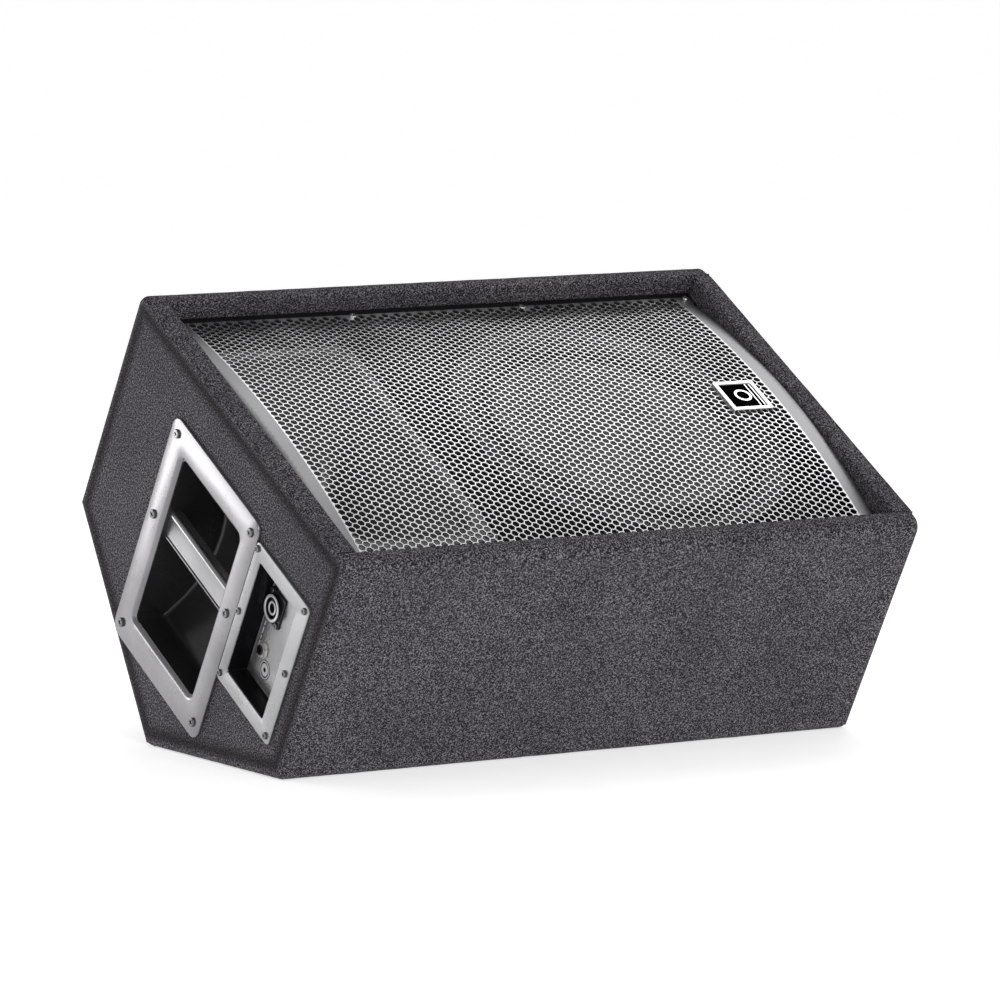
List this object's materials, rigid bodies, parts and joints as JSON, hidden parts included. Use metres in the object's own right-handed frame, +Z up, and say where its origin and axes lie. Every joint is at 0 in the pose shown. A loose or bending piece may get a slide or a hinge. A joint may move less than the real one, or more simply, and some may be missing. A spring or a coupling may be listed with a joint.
{
  "type": "stage monitor wedge",
  "caption": "Carpeted two-way floor wedge with a tilted arched grille over a woofer and a horn, and a recessed handle and input dish in one end.",
  "frame": {"origin": "middle of the wedge's footprint on the floor, at mid length and mid depth of the whole object", "axes": "+X along the length away from the handle end, -Y the front that the listener faces, +Z up from the floor"},
  "size_m": [0.6074, 0.4674, 0.4011],
  "materials": {
    "carpet": "charcoal needle-punched carpet with grey flecks",
    "plywood": "plain birch plywood",
    "softwood": "sawn softwood",
    "wool": "loose polyester wool",
    "grille_paint": "satin dark powder coat",
    "plated_screws": "zinc plated",
    "badge_metal": "polished frame, black centre",
    "plate_finish": "black satin textured",
    "cup_plastic": "black moulded, satin",
    "grip_finish": "black satin",
    "black_screws": "black oxide",
    "socket_plastic": "black moulded",
    "contact_metal": "tinned brass",
    "nickel": "nickel plated",
    "circuit_board": "green solder mask",
    "spacer_plastic": "white nylon",
    "copper_coil": "enamelled copper",
    "component_case": "yellow film wrap",
    "ceramic": "white ceramic",
    "lead_sheath": "black sheath",
    "frame_paint": "black paint",
    "gasket_rubber": "black rubber ring",
    "treated_cloth": "black impregnated cloth",
    "cone_paper": "dark pressed paper",
    "motor_steel": "zinc plated steel",
    "ferrite": "sintered ferrite",
    "horn_plastic": "black moulded",
    "diaphragm_foil": "thin foil",
    "driver_cover": "black moulded",
    "socket_cup": "black moulded"
  },
  "bodies": {
    "cabinet": {"carpet_wrap": "carpet", "carpet_floor": "carpet", "carpet_end_left": "carpet", "carpet_end_right": "carpet", "end_panel_left": "plywood", "end_panel_right": "plywood", "front_panel": "plywood", "rear_upper_panel": "plywood", "rear_lower_panel": "plywood", "floor_panel": "plywood", "baffle_board": "plywood", "baffle_cleats": "softwood", "grille_battens": "softwood", "acoustic_lining": "wool", "grille": "grille_paint", "grille_screws": "plated_screws", "board_screws": "plated_screws", "badge": "badge_metal", "handle_plate": "plate_finish", "input_dish": "plate_finish", "handle_cup": "cup_plastic", "handle_grip_bar": "grip_finish", "handle_screws": "black_screws", "input_dish_screws": "black_screws", "woofer_screws": "black_screws", "horn_screws": "black_screws", "pole_socket_screws": "black_screws", "speaker_socket_screws": "black_screws", "speaker_socket": "socket_plastic", "jack_body": "socket_plastic", "speaker_socket_contacts": "contact_metal", "hf_terminals": "contact_metal", "jack_nut": "nickel", "jack_washer": "nickel", "crossover_board": "circuit_board", "board_spacers": "spacer_plastic", "woofer_terminals": "spacer_plastic", "inductors": "copper_coil", "capacitors": "component_case", "resistors": "ceramic", "input_lead": "lead_sheath", "woofer_lead": "lead_sheath", "hf_lead": "lead_sheath", "woofer_basket": "frame_paint", "woofer_gasket": "gasket_rubber", "woofer_surround": "treated_cloth", "woofer_spider": "treated_cloth", "woofer_top_plate": "motor_steel", "woofer_back_plate": "motor_steel", "hf_front_plate": "motor_steel", "hf_top_plate": "motor_steel", "woofer_magnet": "ferrite", "hf_magnet": "ferrite", "horn": "horn_plastic", "hf_cover": "driver_cover", "pole_socket": "socket_cup"},
    "woofer_moving": {"woofer_cone": "cone_paper", "woofer_dust_cap": "cone_paper", "woofer_voice_coil": "copper_coil"},
    "hf_moving": {"hf_diaphragm": "diaphragm_foil"}
  },
  "joints": [
    {"name": "woofer_cone_travel", "type": "slide", "parent": "cabinet", "child": "woofer_moving", "axis": [0, -0.5, 0.866], "range_m": [-0.005, 0.005], "stiffness_N_per_m": 4500, "deforming": ["woofer_surround", "woofer_spider"]},
    {"name": "hf_diaphragm_travel", "type": "slide", "parent": "cabinet", "child": "hf_moving", "axis": [0, -0.5, 0.866], "range_m": [-0.0003, 0.0003], "stiffness_N_per_m": 14000}
  ]
}
